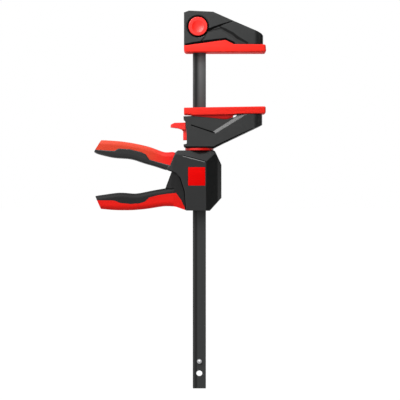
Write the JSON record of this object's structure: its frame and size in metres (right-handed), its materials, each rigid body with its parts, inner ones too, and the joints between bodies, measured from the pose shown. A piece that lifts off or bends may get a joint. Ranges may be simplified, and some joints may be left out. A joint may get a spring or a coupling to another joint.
{
  "type": "quick release bar clamp",
  "caption": "One-hand bar clamp: fixed jaw with push-button lock on a flat bar, sliding jaw with release lever, and a squeeze handle that swivels all round the bar.",
  "frame": {"origin": "centre of the hanging hole near the bar's lower end, midway through the bar's thickness", "axes": "+Z along the bar towards the fixed jaw, +X towards the throat where the work is clamped, -Y the front that carries the lock button and the name plate; the bar stands upright"},
  "size_m": [0.229, 0.0395, 0.503],
  "materials": {
    "bar_lacquer": "satin black lacquer on flat steel bar",
    "plain_steel": "plain turned or stamped steel",
    "spring_steel": "oiled spring wire",
    "jaw_plastic": "moulded glass-filled nylon, fine spark-eroded texture",
    "housing_plastic": "moulded glass-filled nylon, satin",
    "pad_elastomer": "moulded soft red elastomer, satin",
    "grip_elastomer": "over-moulded soft-touch elastomer, satin",
    "red_plastic": "moulded red nylon, satin",
    "badge_plastic": "plain red name plate, bare",
    "zinc_screw": "zinc-plated thread-forming screws",
    "carrier_zinc": "as-cast light alloy"
  },
  "bodies": {
    "bar": {"rail": "bar_lacquer", "stop_pin": "plain_steel", "fixed_jaw": "jaw_plastic", "fixed_jaw_pad": "pad_elastomer", "lock_cover": "jaw_plastic"},
    "lock": {"lock_button": "red_plastic", "lock_frame": "plain_steel", "lock_pin": "plain_steel", "lock_spring": "spring_steel"},
    "slider": {"slider_jaw": "jaw_plastic", "slider_jaw_pad": "pad_elastomer", "swivel_collar": "red_plastic", "collar_screws": "zinc_screw", "brake_spring": "spring_steel"},
    "brake": {"brake_plate": "plain_steel"},
    "release": {"release_lever": "red_plastic"},
    "handle": {"front_shell": "housing_plastic", "back_shell": "housing_plastic", "front_grip_cover": "grip_elastomer", "back_grip_cover": "grip_elastomer", "housing_screws": "zinc_screw", "badge_plate": "badge_plastic", "trigger_pin": "plain_steel", "spring_seat": "plain_steel"},
    "squeeze_lever": {"trigger": "housing_plastic", "trigger_grip": "grip_elastomer"},
    "drive": {"drive_carrier": "carrier_zinc", "thrust_ring": "plain_steel", "drive_plates": "plain_steel", "drive_spring": "spring_steel"}
  },
  "joints": [
    {"name": "jaw_slide", "type": "slide", "parent": "bar", "child": "slider", "axis": [0, 0, 1], "range_m": [-0.232, 0.0715]},
    {"name": "lock_press", "type": "slide", "parent": "bar", "child": "lock", "axis": [0, 1, 0], "range_m": [0, 0.0045], "stiffness_N_per_m": 900, "springref_m": -0.003, "deforming": ["lock_spring"]},
    {"name": "release_press", "type": "slide", "parent": "slider", "child": "release", "axis": [0, 0, -1], "range_m": [0, 0.0032], "stiffness_N_per_m": 900, "springref_m": -0.002},
    {"name": "brake_tilt", "type": "hinge", "parent": "slider", "child": "brake", "pos_m": [0.0155, 0, 0.3169], "axis": [0, -1, 0], "range_deg": [0, 6], "deforming": ["brake_spring"]},
    {"name": "handle_swivel", "type": "hinge", "parent": "slider", "child": "handle", "pos_m": [0, 0, 0.29], "axis": [0, 0, 1], "continuous": true},
    {"name": "trigger_squeeze", "type": "hinge", "parent": "handle", "child": "squeeze_lever", "pos_m": [-0.022, 0, 0.2742], "axis": [0, 1, 0], "range_deg": [0, 25], "stiffness_Nm_per_rad": 0.4, "springref_deg": -28.65},
    {"name": "drive_stroke", "type": "slide", "parent": "slider", "child": "drive", "axis": [0, 0, -1], "range_m": [0, 0.0073], "deforming": ["drive_spring"]}
  ],
  "couplings": [
    {"joint": "brake_tilt", "follows": "release_press", "rad_per_m": 32.7},
    {"joint": "drive_stroke", "follows": "trigger_squeeze", "m_per_rad": 0.01647}
  ]
}
